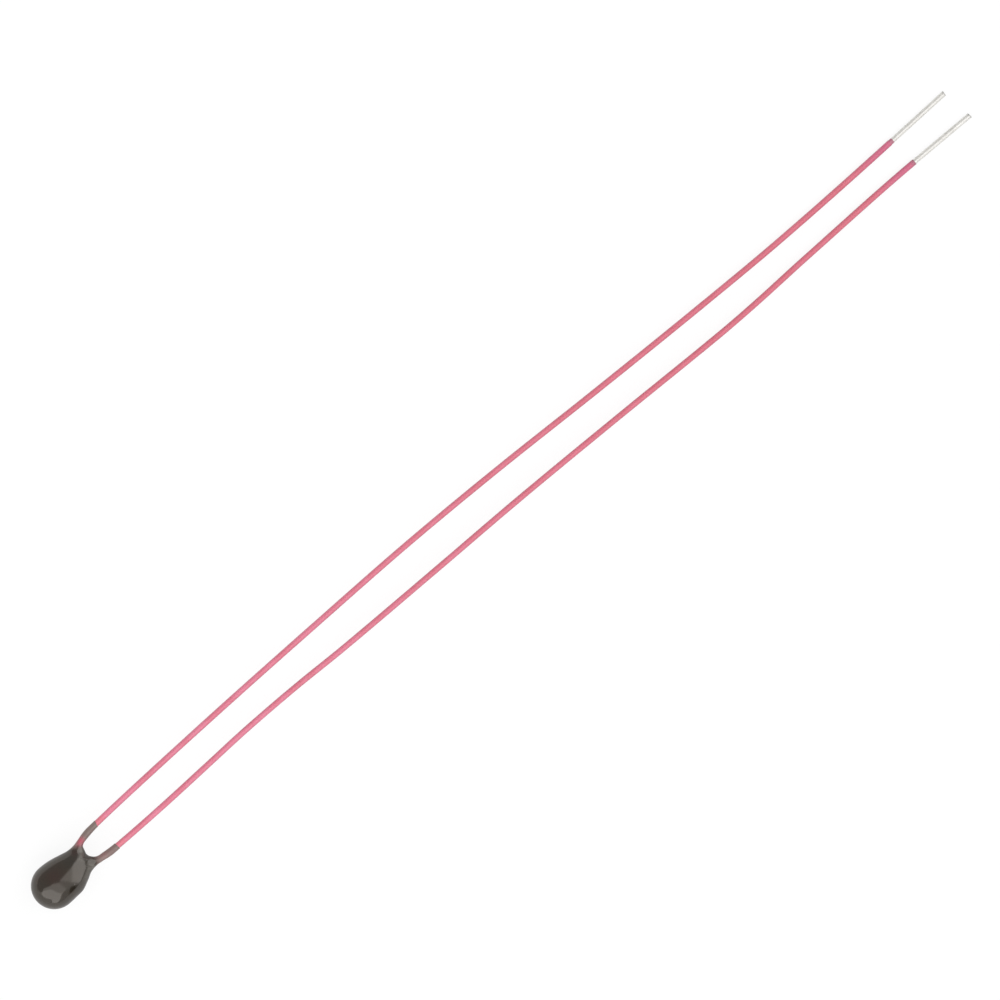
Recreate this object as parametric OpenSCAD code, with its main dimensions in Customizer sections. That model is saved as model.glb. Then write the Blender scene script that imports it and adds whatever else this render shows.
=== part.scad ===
/* [Resin head] */
// Width of the head across the leads, at its widest point
head_w = 2.34; // [1.9:0.02:3.2]
// Height of the head at its widest point
head_h = 2.2; // [1.8:0.02:3.2]
// Length of the round back of the head, behind its widest point
head_back = 1.17; // [0.9:0.01:1.6]
// Length of the egg's taper towards the leads
head_front = 2.2; // [1.8:0.05:3.0]
// Reach of the blend that webs the two leads and the egg together
web_blend = 0.5; // [0.4:0.05:0.7]
// Resin that creeps along the left lead, beyond the taper
collar_left = 1.45; // [1:0.05:2.5]
// Resin that creeps along the right lead, beyond the taper
collar_right = 1.5; // [1:0.05:2.5]
// Thickness of the resin film over the insulation at the neck
neck_film = 0.03; // [0.02:0.005:0.06]
// Thickness of the film where it ends on the insulation
edge_film = 0.02; // [0.015:0.005:0.04]

/* [Leads] */
// Distance from the head's widest point to the tip of the left lead
lead_reach = 59.6; // [30:0.2:100]
// How much further the right lead reaches
tip_stagger = 0.25; // [0:0.05:2]
// Length of the bare tinned end of each lead
strip_len = 3.5; // [2:0.1:8]
// Diameter of the conductor
wire_d = 0.25; // [0.2:0.01:0.32]
// Thickness of the solder dip on the bare end
tin_film = 0.015; // [0.01:0.005:0.03]
// Wall of the insulation
sleeve_wall = 0.035; // [0.03:0.005:0.1]
// Bevel round the cut end of the insulation
sleeve_bevel = 0.02; // [0.01:0.005:0.03]
// Where the insulation begins inside the resin, in front of the chip
sleeve_setback = 0.85; // [0.6:0.05:1]
// Clearance below the insulation where it ends, as the leads come down to their tips
end_clearance = 0.02; // [0.01:0.01:0.1]

/* [Chip] */
// Length of the ceramic chip along the leads
chip_len = 0.7; // [0.4:0.05:0.85]
// Height of the chip
chip_h = 0.7; // [0.6:0.05:0.9]
// Thickness of the chip between its electrodes
chip_t = 0.5; // [0.2:0.05:0.6]
// Thickness of each silver electrode film
electrode_t = 0.02; // [0.01:0.005:0.04]
// Bare rim of the chip's face around the electrode
electrode_rim = 0.03; // [0.01:0.01:0.08]
// How far the end of each conductor stops short of the chip's back edge
wire_inset = 0.12; // [0.1:0.01:0.15]
// Solder over the back of the conductor
solder_film = 0.05; // [0.03:0.01:0.1]
// Height of the solder where it wets the electrode, as a share of the electrode's
solder_spread = 0.78; // [0.7:0.02:0.94]

/* [Hidden] */

LEFT = 1;
RIGHT = -1;

// Sizes that follow from the ones above
tinned_d = wire_d + 2 * tin_film;
sleeve_d = wire_d + 2 * sleeve_wall;
sleeve_start = chip_len / 2 + sleeve_setback;
electrode_len = chip_len - 2 * electrode_rim;
electrode_h = chip_h - 2 * electrode_rim;
// The silver left bare at each end of the solder, and how much shorter the solder is over
// the conductor, at each end
silver_margin = 0.02;
solder_taper = 0.03;
solder_len = electrode_len - 2 * silver_margin;
solder_h = electrode_h * solder_spread;
// The thin edge where the solder wets the electrode
solder_edge = 0.01;

// The leads are swept with this many sides, a flat one towards the chip
tube_sides = 12;
face_y = chip_t / 2 + electrode_t;
wire_y = face_y + wire_d / 2 * cos(180 / tube_sides);
wire_end = chip_len / 2 - wire_inset;
// The conductors run straight as far as this, a little past the chip
straight_end = chip_len / 2 + 0.15;

// Rings along the insulation, closer together near the head
sleeve_rings = 36;
// Rings along the bare conductor inside the head
core_rings = 8;
// How strongly rings crowd towards the head. A value of 1 spaces them evenly.
crowding = 1.6;
// The conductor runs this far inside its tinned end
tin_overlap = 1;
tip_chamfer = 0.05;
// Sides of the true round shapes
round_sides = 48;

// Run of each lead past the egg: [share of the egg's taper, y]
neck_left = [[0.68, 0.5], [0.955, 0.7], [1.23, 0.88], [1.545, 0.97]];
neck_right = [[0.68, -0.35], [0.955, -0.37], [1.23, -0.475], [1.545, -0.545]];
// Free run of each lead: [share of the run to the bare end, y, share of the head's height]
free_left = [
    [0.06, 1.1, 1], [0.17, 1.25, 0.97], [0.29, 1.34, 0.88], [0.4, 1.38, 0.78],
    [0.51, 1.26, 0.64], [0.63, 1, 0.47], [0.75, 0.79, 0.29], [0.86, 0.68, 0.13]
];
free_right = [
    [0.06, -0.53, 0.99], [0.12, -0.44, 0.94], [0.17, -0.36, 0.88], [0.23, -0.37, 0.81],
    [0.29, -0.47, 0.74], [0.4, -0.53, 0.6], [0.51, -0.57, 0.49], [0.63, -0.72, 0.38],
    [0.75, -0.91, 0.26], [0.8, -0.91, 0.2], [0.86, -0.83, 0.13]
];
// Where the insulation ends and where the tip lies, sideways, on the left and the right
strip_y = [0.78, -0.75];
tip_y = [0.87, -0.8];

// Rings of the resin's skin: over the round back, along the taper and along each limb
nose_rings = 10;
body_rings = 11;
limb_rings = 18;
// Points over each side of the head, from its bottom ridge to its top ridge
half_ring = 18;
ring = 2 * half_ring;
// Points of the crotch between those two ridges
crotch_points = 11;
limb_ring_points = half_ring + 1 + crotch_points;
// The head's last whole ring, where the two limbs part
split_x = 0.7 * head_front;
// How far back along the leads the rays into the crotch start
crotch_slant = 0.12 * head_front;
// The collars' film thins from here to their ends
film_from = 0.6 * head_front;

function of_side(pair, side) = side == LEFT ? pair[0] : pair[1];
function unit(v) = v / norm(v);
function flatten(lists) = [for (l = lists) each l];
function reversed(list) = [for (i = [len(list) - 1:-1:0]) list[i]];

// The run of each lead. Points are measured from the middle of the head at its widest
// point, and the free end comes down until its tip lies on the ground.
strip_z = sleeve_d / 2 + end_clearance - head_h / 2;
tip_z = tinned_d / 2 - head_h / 2;
function tip_x(side) = lead_reach + of_side([0, tip_stagger], side);
function strip_x(side) = tip_x(side) - strip_len;

function lead_points(side) =
    let (
        neck = of_side([neck_left, neck_right], side),
        free = of_side([free_left, free_right], side),
        free_x = neck[len(neck) - 1].x * head_front
    )
    concat(
        [for (x = [-wire_end, wire_end, straight_end]) [x, side * wire_y, 0]],
        [for (p = neck) [p.x * head_front, p.y, 0]],
        [for (p = free) [free_x + p.x * (strip_x(side) - free_x), p.y, (1 - p.z) * strip_z]],
        [[strip_x(side), of_side(strip_y, side), strip_z]]
    );

// Each centre line as pairs of a point and its [y, z] slope, for a smooth cubic run. It is
// straight along the chip and along the bare end.
function lead_line(side) =
    let (
        p = lead_points(side),
        last = len(p) - 1,
        tip = [of_side(tip_y, side), tip_z],
        strip = [p[last].y, p[last].z]
    )
    [for (i = [0:last])
        [p[i],
         i < 3 ? [0, 0]
         : i == last ? (tip - strip) / strip_len
         : [p[i + 1].y - p[i - 1].y, p[i + 1].z - p[i - 1].z] / (p[i + 1].x - p[i - 1].x)]];
left_line = lead_line(LEFT);
right_line = lead_line(RIGHT);

function span_of(line, x, i = 0) =
    i >= len(line) - 2 || line[i + 1][0].x > x ? i : span_of(line, x, i + 1);

// [y, z] of a centre line at x, straight on before its first point and after its last
function line_yz(line, x) =
    let (first = line[0], last = line[len(line) - 1])
    x <= first[0].x ? [first[0].y, first[0].z]
    : x >= last[0].x ? [last[0].y, last[0].z] + last[1] * (x - last[0].x)
    : let (
        i = span_of(line, x),
        a = line[i],
        b = line[i + 1],
        h = b[0].x - a[0].x,
        t = (x - a[0].x) / h
    )
    [a[0].y, a[0].z] * (1 + 2 * t) * (1 - t) * (1 - t)
    + [b[0].y, b[0].z] * t * t * (3 - 2 * t)
    + (a[1] * t * (1 - t) * (1 - t) + b[1] * t * t * (t - 1)) * h;

function line_at(side, x) =
    let (yz = line_yz(of_side([left_line, right_line], side), x))
    [x, yz[0], yz[1]];
function heading(side, x, step = 0.01) =
    unit(line_at(side, x + step) - line_at(side, x - step));
// Half way between the leads
function middle(x) = (line_at(LEFT, x) + line_at(RIGHT, x)) / 2;

// One ring of a swept tube, square to the centre line, with flat sides towards the chip
function tube_ring(side, x, r) =
    let (
        along = heading(side, x),
        across = unit([-along.y, along.x, 0]),
        up = cross(along, across),
        c = line_at(side, x)
    )
    [for (i = [0:tube_sides - 1])
        let (a = (i + 0.5) * 360 / tube_sides)
        c + r * (across * cos(a) + up * sin(a))];
function tube_ids(k, first = 0) = [for (i = [0:tube_sides - 1]) first + k * tube_sides + i];

// The wall between two rings of as many points, as pairs of triangles
function belt(a, b) =
    [for (i = [0:len(a) - 1])
        let (j = (i + 1) % len(a))
        each [[a[i], b[i], b[j]], [a[i], b[j], a[j]]]];
// The same with the shorter diagonal each time, for rings that twist
function fair_belt(points, a, b) =
    [for (i = [0:len(a) - 1])
        let (
            j = (i + 1) % len(a),
            one = norm(points[a[i]] - points[b[j]]),
            other = norm(points[a[j]] - points[b[i]])
        )
        each one <= other
            ? [[a[i], b[i], b[j]], [a[i], b[j], a[j]]]
            : [[a[i], b[i], a[j]], [a[j], b[i], b[j]]]];

// A closed rod along a lead. Each station is a place along it and the radius there.
module swept_rod(side, stations) {
    last = len(stations) - 1;
    polyhedron(
        points = flatten([for (s = stations) tube_ring(side, s[0], s[1])]),
        faces = concat(
            [tube_ids(0)],
            flatten([for (k = [0:last - 1]) belt(tube_ids(k), tube_ids(k + 1))]),
            [reversed(tube_ids(last))]
        )
    );
}

// Where the rings of the bare conductor and of the insulation stand. They share the
// insulation's stations, so that the conductor fills the bore face to face.
core_xs = [for (k = [0:core_rings - 1]) -wire_end + (sleeve_start + wire_end) * k / core_rings];
function sleeve_xs(side) =
    let (bevel_x = strip_x(side) - sleeve_bevel, run = bevel_x - sleeve_start)
    concat(
        [for (k = [0:sleeve_rings]) sleeve_start + run * pow(k / sleeve_rings, crowding)],
        [strip_x(side)]
    );
function sleeve_stations(side) =
    [for (x = sleeve_xs(side)) [x, sleeve_d / 2 - (x == strip_x(side) ? sleeve_bevel : 0)]];
function core_stations(side) =
    [for (x = concat(core_xs, sleeve_xs(side), [strip_x(side) + tin_overlap])) [x, wire_d / 2]];
// The room that a lead takes up in the resin: the conductor, then the insulation
function cast_in_stations(side) =
    concat(
        [for (x = core_xs) [x, wire_d / 2]],
        [[sleeve_start, wire_d / 2]],
        sleeve_stations(side)
    );

module conductor_core(side) {
    swept_rod(side, core_stations(side));
}
// As much of it as the solder takes in
module conductor_root(side) {
    swept_rod(side, [for (x = core_xs) if (x < chip_len) [x, wire_d / 2]]);
}

// The solder dip on the bare end: a true round pin from the insulation to the tip
module tinned_end(side) {
    foot = line_at(side, strip_x(side));
    run = line_at(side, tip_x(side)) - foot;
    r = tinned_d / 2;
    translate(foot)
        rotate([0, acos(run.z / norm(run)), atan2(run.y, run.x)])
            rotate_extrude($fn = round_sides)
                polygon([
                    [0, 0], [r, 0], [r, norm(run) - tip_chamfer],
                    [r - tip_chamfer, norm(run)], [0, norm(run)]
                ]);
}

module lead_wire(side) {
    color([0.82, 0.82, 0.83]) {
        conductor_core(side);
        tinned_end(side);
    }
}

// The insulation: a tube drawn as one closed skin, with the conductor's form as its bore
module insulation(side) {
    stations = sleeve_stations(side);
    last = len(stations) - 1;
    bore = len(stations) * tube_sides;
    wall = flatten([for (k = [0:last - 1]) belt(tube_ids(k), tube_ids(k + 1))]);
    color([0.93, 0.45, 0.55])
        polyhedron(
            points = concat(
                flatten([for (s = stations) tube_ring(side, s[0], s[1])]),
                flatten([for (s = stations) tube_ring(side, s[0], wire_d / 2)])
            ),
            faces = concat(
                wall,
                [for (face = wall) reversed([for (i = face) i + bore])],
                belt(tube_ids(0, bore), tube_ids(0)),
                belt(tube_ids(last), tube_ids(last, bore))
            )
        );
}

module thermistor_chip() {
    color([0.22, 0.2, 0.2]) cube([chip_len, chip_t, chip_h], center = true);
}

module electrode(side) {
    color([0.85, 0.85, 0.82])
        translate([0, side * (chip_t + electrode_t) / 2, 0])
            cube([electrode_len, electrode_t, electrode_h], center = true);
}

// The mound of solder over a conductor's end, before the conductor is taken out of it
module solder_mound(side) {
    back_len = solder_len - 2 * solder_taper;
    hull() {
        translate([0, side * (face_y + solder_edge / 2), 0])
            cube([solder_len, solder_edge, solder_h], center = true);
        translate([0, side * wire_y, 0])
            rotate([0, 90, 0])
                intersection() {
                    cylinder(h = back_len, d = wire_d + 2 * solder_film, center = true, $fn = 32);
                    translate([0, side * wire_d / 2, 0])
                        cube([2 * wire_d, wire_d, back_len], center = true);
                }
    }
}

module solder_joint(side) {
    color([0.7, 0.71, 0.72])
        difference() {
            solder_mound(side);
            conductor_root(side);
        }
}

// The resin's skin. The wet coat is an egg round the chip and a film on each lead, drawn
// together where they come close, so a point's gap to the three of them is blended and
// the skin lies where the blended gap is nought.

// How far a point lies outside the egg, near enough for blending
function egg_gap(p) =
    let (
        a = p.x > 0 ? head_front : head_back,
        q = [p.x / a, 2 * p.y / head_w, 2 * p.z / head_h],
        g = [p.x / (a * a), 4 * p.y / (head_w * head_w), 4 * p.z / (head_h * head_h)]
    )
    norm(q) * (norm(q) - 1) / norm(g);

// How far a point lies outside the film on one lead
function collar_end(side) = head_front + of_side([collar_left, collar_right], side);
function film(side, x) =
    let (t = (x - film_from) / (collar_end(side) - film_from))
    neck_film + (edge_film - neck_film) * min(max(t, 0), 1);
function film_gap(side, p) =
    let (x = max(p.x, wire_end), c = line_at(side, x))
    norm([min(p.x - wire_end, 0), (p.y - c.y) * heading(side, x).x, p.z - c.z])
    - sleeve_d / 2 - film(side, x);

function blended(a, b) =
    min(a, b) - pow(max(web_blend - abs(a - b), 0), 2) / (4 * web_blend);
function resin_gap(p) = blended(blended(film_gap(LEFT, p), film_gap(RIGHT, p)), egg_gap(p));

// The point where a ray leaves the resin, found by halving
function skin_point(from, way, far, steps = 18, near = 0) =
    let (mid = (near + far) / 2)
    steps == 0 ? from + way * mid
    : resin_gap(from + way * mid) < 0
        ? skin_point(from, way, far, steps - 1, mid)
        : skin_point(from, way, mid, steps - 1, near);

// A ring of the round back, at an angle from its pole, and a ring of the taper
function nose_ring(a) =
    [for (i = [0:ring - 1])
        let (b = i * 180 / half_ring - 90)
        skin_point([0, 0, 0], [-cos(a), sin(a) * cos(b), sin(a) * sin(b)], 2 * head_w)];
function body_ring(x) =
    [for (i = [0:ring - 1])
        let (b = i * 180 / half_ring - 90)
        skin_point(middle(x), [0, cos(b), sin(b)], head_w)];

head_points = concat(
    [skin_point([0, 0, 0], [-1, 0, 0], 2 * head_w)],
    flatten([for (k = [1:nose_rings]) nose_ring(90 * k / nose_rings)]),
    flatten([for (k = [1:body_rings]) body_ring(split_x * k / body_rings)])
);
// The crotch: from the top ridge, round the web between the leads, to the bottom ridge
web_way = unit(middle(head_front) - middle(split_x));
crotch = [for (i = [1:crotch_points])
    let (b = 90 - 180 * i / (crotch_points + 1))
    skin_point(middle(split_x), cos(b) * web_way + [0, 0, sin(b)], head_front)];
first_limb_id = len(head_points) + crotch_points;

// Which points each ring runs through, as places in the list of all points
function head_ring_ids(k) = [for (i = [0:ring - 1]) 1 + (k - 1) * ring + i];
last_head_ring = head_ring_ids(nose_rings + body_rings);
function limb_start_ids(side) = concat(
    [for (i = [0:half_ring]) last_head_ring[(ring + side * i) % ring]],
    [for (i = [0:crotch_points - 1]) len(head_points) + i]
);
function limb_ring_ids(side, k) =
    let (rings_before = k - 1 + of_side([0, limb_rings], side))
    k == 0 ? limb_start_ids(side)
    : [for (i = [0:limb_ring_points - 1]) first_limb_id + rings_before * limb_ring_points + i];

// A ring of a limb. The first one is the half of the head's last ring on its own side with
// the crotch, and the others turn little by little into an even circle round the lead. The
// rays into the crotch slant forward, and straighten up as the rings move on.
function limb_ring(side, starts, k) =
    let (share = pow(k / limb_rings, crowding))
    [for (i = [0:limb_ring_points - 1])
        let (
            start = starts[i],
            slant = crotch_slant * max(0, sin(180 * (i - half_ring) / (crotch_points + 1))),
            from_lead = start - line_at(side, start.x - slant),
            raw = atan2(from_lead.z, side * from_lead.y),
            start_a = i > half_ring && raw < 0 ? raw + 360 : raw,
            end_a = (i - half_ring / 2) * 360 / limb_ring_points,
            a = start_a + (end_a - start_a) * share,
            x = start.x + (collar_end(side) - start.x) * share,
            behind = slant * (1 - share),
            c = line_at(side, x - behind),
            reach = norm([from_lead.y, from_lead.z]),
            way = unit([behind, side * reach * cos(a), reach * sin(a)]),
            to_middle = (middle(x).y - c.y) / way.y
        )
        skin_point(c, way, cos(a) < 0 ? min(head_w, to_middle) : head_w)];
function limb_points(side) =
    let (
        all_starts = concat(head_points, crotch),
        starts = [for (i = limb_start_ids(side)) all_starts[i]]
    )
    flatten([for (k = [1:limb_rings]) limb_ring(side, starts, k)]);

module resin_skin() {
    first = head_ring_ids(1);
    left = [for (k = [0:limb_rings]) limb_ring_ids(LEFT, k)];
    right = [for (k = [0:limb_rings]) limb_ring_ids(RIGHT, k)];
    skin = concat(head_points, crotch, limb_points(LEFT), limb_points(RIGHT));
    polyhedron(
        points = skin,
        faces = concat(
            [for (i = [0:ring - 1]) [0, first[i], first[(i + 1) % ring]]],
            flatten([for (k = [1:nose_rings + body_rings - 1])
                belt(head_ring_ids(k), head_ring_ids(k + 1))]),
            flatten([for (k = [0:limb_rings - 1]) fair_belt(skin, left[k], left[k + 1])]),
            flatten([for (k = [0:limb_rings - 1]) fair_belt(skin, right[k + 1], right[k])]),
            [reversed(left[limb_rings]), right[limb_rings]]
        )
    );
}

module epoxy_coating() {
    color([0.2, 0.18, 0.17])
        difference() {
            resin_skin();
            thermistor_chip();
            electrode(LEFT);
            electrode(RIGHT);
            solder_mound(LEFT);
            solder_mound(RIGHT);
            swept_rod(LEFT, cast_in_stations(LEFT));
            swept_rod(RIGHT, cast_in_stations(RIGHT));
        }
}

// Lays the part on the ground, with its length centred
module seated() {
    whole_len = head_back + tip_x(RIGHT);
    translate([head_back - whole_len / 2, 0, head_h / 2]) children();
}

seated() epoxy_coating();
seated() thermistor_chip();
seated() electrode(LEFT);  // electrode_left
seated() electrode(RIGHT);  // electrode_right
seated() solder_joint(LEFT);  // solder_joint_left
seated() solder_joint(RIGHT);  // solder_joint_right
seated() lead_wire(LEFT);  // lead_wire_left
seated() lead_wire(RIGHT);  // lead_wire_right
seated() insulation(LEFT);  // insulation_left
seated() insulation(RIGHT);  // insulation_right
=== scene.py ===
import math
import bpy
import numpy as np
from mathutils import Matrix, Vector


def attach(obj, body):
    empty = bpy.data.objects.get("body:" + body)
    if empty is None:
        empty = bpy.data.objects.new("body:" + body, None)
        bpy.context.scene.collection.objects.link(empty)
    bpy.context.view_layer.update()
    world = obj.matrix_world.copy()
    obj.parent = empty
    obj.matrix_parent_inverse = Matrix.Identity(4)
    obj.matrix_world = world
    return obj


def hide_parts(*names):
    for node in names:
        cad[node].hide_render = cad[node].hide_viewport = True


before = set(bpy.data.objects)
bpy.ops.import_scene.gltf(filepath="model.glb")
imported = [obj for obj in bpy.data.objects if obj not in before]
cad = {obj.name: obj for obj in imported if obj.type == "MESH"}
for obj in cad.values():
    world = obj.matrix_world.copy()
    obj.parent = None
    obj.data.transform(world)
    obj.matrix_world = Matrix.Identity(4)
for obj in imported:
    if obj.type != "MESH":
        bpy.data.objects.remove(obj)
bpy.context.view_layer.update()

# Sizes of the thermistor. Lengths are in millimetres until a mesh is made, and x, y and z
# are measured from the middle of the head at its widest point.
MM = 0.001
# The leads' sides, looking from the head to the tips, as the signs of their y
LEFT = 1
RIGHT = -1
SIDE_NAMES = {LEFT: "left", RIGHT: "right"}

# The resin
HEAD_W = 2.34
HEAD_H = 2.2
HEAD_BACK = 1.17
HEAD_FRONT = 2.2
WEB_BLEND = 0.5
COLLAR = {LEFT: 1.45, RIGHT: 1.5}
NECK_FILM = 0.03
EDGE_FILM = 0.02
FILM_FROM = 0.6 * HEAD_FRONT

# The leads
LEAD_REACH = 59.6
TIP_STAGGER = {LEFT: 0, RIGHT: 0.25}
STRIP_LEN = 3.5
WIRE_D = 0.25
TIN_FILM = 0.015
SLEEVE_WALL = 0.035
SLEEVE_SETBACK = 0.85
END_CLEARANCE = 0.02

# What the resin hides
CHIP_LEN = 0.7
CHIP_T = 0.5
ELECTRODE_T = 0.02
WIRE_INSET = 0.12
SOLDER_FILM = 0.05
STRAIGHT_PAST_CHIP = 0.15
TUBE_SIDES = 12

TINNED_D = WIRE_D + 2 * TIN_FILM
SLEEVE_D = WIRE_D + 2 * SLEEVE_WALL
# The plain model's sleeves have flat sides, and a round one lies between flats and corners
ROUND_SLEEVE_R = 0.985 * SLEEVE_D / 2
SLEEVE_START = CHIP_LEN / 2 + SLEEVE_SETBACK
WIRE_Y = CHIP_T / 2 + ELECTRODE_T + WIRE_D / 2 * math.cos(math.pi / TUBE_SIDES)
WIRE_END = CHIP_LEN / 2 - WIRE_INSET
STRAIGHT_END = CHIP_LEN / 2 + STRAIGHT_PAST_CHIP

# Run of each lead past the egg, as a share of the head's taper and y, and its free run, as
# a share of the way to the bare end, y and a share of the head's height
NECK = {
    LEFT: [(0.68, 0.5), (0.955, 0.7), (1.23, 0.88), (1.545, 0.97)],
    RIGHT: [(0.68, -0.35), (0.955, -0.37), (1.23, -0.475), (1.545, -0.545)],
}
FREE = {
    LEFT: [
        (0.06, 1.1, 1), (0.17, 1.25, 0.97), (0.29, 1.34, 0.88), (0.4, 1.38, 0.78),
        (0.51, 1.26, 0.64), (0.63, 1, 0.47), (0.75, 0.79, 0.29), (0.86, 0.68, 0.13),
    ],
    RIGHT: [
        (0.06, -0.53, 0.99), (0.12, -0.44, 0.94), (0.17, -0.36, 0.88), (0.23, -0.37, 0.81),
        (0.29, -0.47, 0.74), (0.4, -0.53, 0.6), (0.51, -0.57, 0.49), (0.63, -0.72, 0.38),
        (0.75, -0.91, 0.26), (0.8, -0.91, 0.2), (0.86, -0.83, 0.13),
    ],
}
STRIP_Y = {LEFT: 0.78, RIGHT: -0.75}
TIP_Y = {LEFT: 0.87, RIGHT: -0.8}
STRIP_Z = SLEEVE_D / 2 + END_CLEARANCE - HEAD_H / 2
TIP_Z = TINNED_D / 2 - HEAD_H / 2


def tip_x(side):
    return LEAD_REACH + TIP_STAGGER[side]


def strip_x(side):
    return tip_x(side) - STRIP_LEN


WHOLE_LEN = HEAD_BACK + tip_x(RIGHT)
SEAT = np.array([HEAD_BACK - WHOLE_LEN / 2, 0, HEAD_H / 2])


def seated(points):
    """Points of the part where it lies in its own frame, in metres."""
    return (np.asarray(points, float) + SEAT) * MM


def unit(vectors):
    return vectors / np.linalg.norm(vectors, axis=-1, keepdims=True)


# The leads' centre lines


def lead_points(side):
    """The points that a lead's centre line passes through."""
    free_x = NECK[side][-1][0] * HEAD_FRONT
    run = strip_x(side) - free_x
    points = [(x, side * WIRE_Y, 0) for x in (-WIRE_END, WIRE_END, STRAIGHT_END)]
    points += [(share * HEAD_FRONT, y, 0) for share, y in NECK[side]]
    points += [(free_x + share * run, y, (1 - high) * STRIP_Z) for share, y, high in FREE[side]]
    points.append((strip_x(side), STRIP_Y[side], STRIP_Z))
    return np.array(points, float)


def lead_slopes(side, points):
    """Slopes in y and z: straight along the chip, and straight along the bare end."""
    slopes = np.zeros((len(points), 2))
    slopes[3:-1] = (points[4:, 1:] - points[2:-2, 1:]) / (points[4:, :1] - points[2:-2, :1])
    slopes[-1] = (np.array([TIP_Y[side], TIP_Z]) - points[-1, 1:]) / STRIP_LEN
    return slopes


LEAD_POINTS = {side: lead_points(side) for side in (LEFT, RIGHT)}
LEAD_SLOPES = {side: lead_slopes(side, LEAD_POINTS[side]) for side in (LEFT, RIGHT)}


def line_at(side, x):
    """Points of a lead's centre line at each x."""
    points = LEAD_POINTS[side]
    slopes = LEAD_SLOPES[side]
    x = np.asarray(x, float)
    i = np.clip(np.searchsorted(points[:, 0], x, side="right") - 1, 0, len(points) - 2)
    a = points[i]
    b = points[i + 1]
    h = (b[:, 0] - a[:, 0])[:, None]
    t = (x[:, None] - a[:, :1]) / h
    yz = a[:, 1:] * (1 + 2 * t) * (1 - t) ** 2 + b[:, 1:] * t * t * (3 - 2 * t)
    yz += (slopes[i] * t * (1 - t) ** 2 + slopes[i + 1] * t * t * (t - 1)) * h
    past = x >= points[-1, 0]
    yz[past] = points[-1, 1:] + slopes[-1] * (x[past, None] - points[-1, 0])
    yz[x <= points[0, 0]] = points[0, 1:]
    return np.column_stack([x, yz])


def heading(side, x, step=0.01):
    """The direction of a lead at each x."""
    x = np.asarray(x, float)
    return unit(line_at(side, x + step) - line_at(side, x - step))


def middle(x):
    """Points half way between the leads."""
    return (line_at(LEFT, x) + line_at(RIGHT, x)) / 2


# The resin's skin: an egg round the chip and a film on each lead, drawn together where they
# come close. The skin lies where the blended gap is nought.

# Swells and thin spots of the wet film along each lead: x, half length, added thickness
SWELLS = {
    LEFT: [(2.5, 0.25, -0.014), (3.5, 0.3, -0.013)],
    RIGHT: [(2.7, 0.15, -0.01), (3.2, 0.25, 0.009)],
}
COLLAR_SLANT = {LEFT: 0.3, RIGHT: 0.1}
# Where the resin stands a little fuller or leaner: a place, how far it reaches, and how much
FULLER = [
    ((2.23, 0.4, 0), 0.19, 0.09), ((2.27, -0.13, 0), 0.25, 0.03),
    ((0.95, -1.05, 0), 0.35, 0.055), ((1.83, -0.71, 0), 0.25, -0.035),
]


def bump(distance):
    """1 at no distance, falling off smoothly to nought."""
    return np.exp(-(distance**2))


def film(side, x):
    """The thickness of the resin film on a lead at each x."""
    end = HEAD_FRONT + COLLAR[side]
    share = np.clip((x - FILM_FROM) / (end - FILM_FROM), 0, 1)
    thickness = NECK_FILM + (EDGE_FILM - NECK_FILM) * share
    for place, half, extra in SWELLS[side]:
        thickness = thickness + extra * bump((x - place) / half)
    return thickness


def lead_gap(side, points):
    """How far points lie from a lead's centre line."""
    x = np.maximum(points[:, 0], WIRE_END)
    off = points - line_at(side, x)
    off[:, 0] = np.minimum(points[:, 0] - WIRE_END, 0)
    # Where a lead leans to a side, it is nearer than it is straight across
    off[:, 1] *= heading(side, x)[:, 0]
    return np.linalg.norm(off, axis=1)


def film_gap(side, points):
    """How far points lie outside the film on a lead."""
    x = np.maximum(points[:, 0], WIRE_END)
    return lead_gap(side, points) - SLEEVE_D / 2 - film(side, x)


def egg_gap(points):
    """About how far points lie outside the egg."""
    x, y, z = points.T
    a = np.where(x > 0, HEAD_FRONT, HEAD_BACK)
    q = np.column_stack([x / a, 2 * y / HEAD_W, 2 * z / HEAD_H])
    g = np.column_stack([x / a**2, 4 * y / HEAD_W**2, 4 * z / HEAD_H**2])
    size = np.linalg.norm(q, axis=1)
    return size * (size - 1) / np.linalg.norm(g, axis=1)


def blended(a, b):
    """The smaller gap, made smaller still where the two are nearly the same."""
    return np.minimum(a, b) - np.maximum(WEB_BLEND - np.abs(a - b), 0) ** 2 / (4 * WEB_BLEND)


def resin_gap(points):
    """About how far points lie outside the resin, and less than nought inside it."""
    leads = blended(film_gap(LEFT, points), film_gap(RIGHT, points))
    gap = blended(leads, egg_gap(points))
    for place, reach, amount in FULLER:
        gap = gap - amount * bump(np.linalg.norm(points - np.array(place), axis=1) / reach)
    return gap


def skin_points(start, way, far, steps=26):
    """Where rays leave the resin, found by halving."""
    start, way = np.broadcast_arrays(np.asarray(start, float), np.asarray(way, float))
    near = np.zeros(len(way))
    far = np.broadcast_to(np.asarray(far, float), len(way)).copy()
    for _ in range(steps):
        mid = (near + far) / 2
        inside = resin_gap(start + way * mid[:, None]) < 0
        near = np.where(inside, mid, near)
        far = np.where(inside, far, mid)
    return start + way * near[:, None]


# Mesh building


def put_in_scene(name, data):
    made = bpy.data.objects.new(name, data)
    bpy.context.scene.collection.objects.link(made)
    return made


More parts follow.
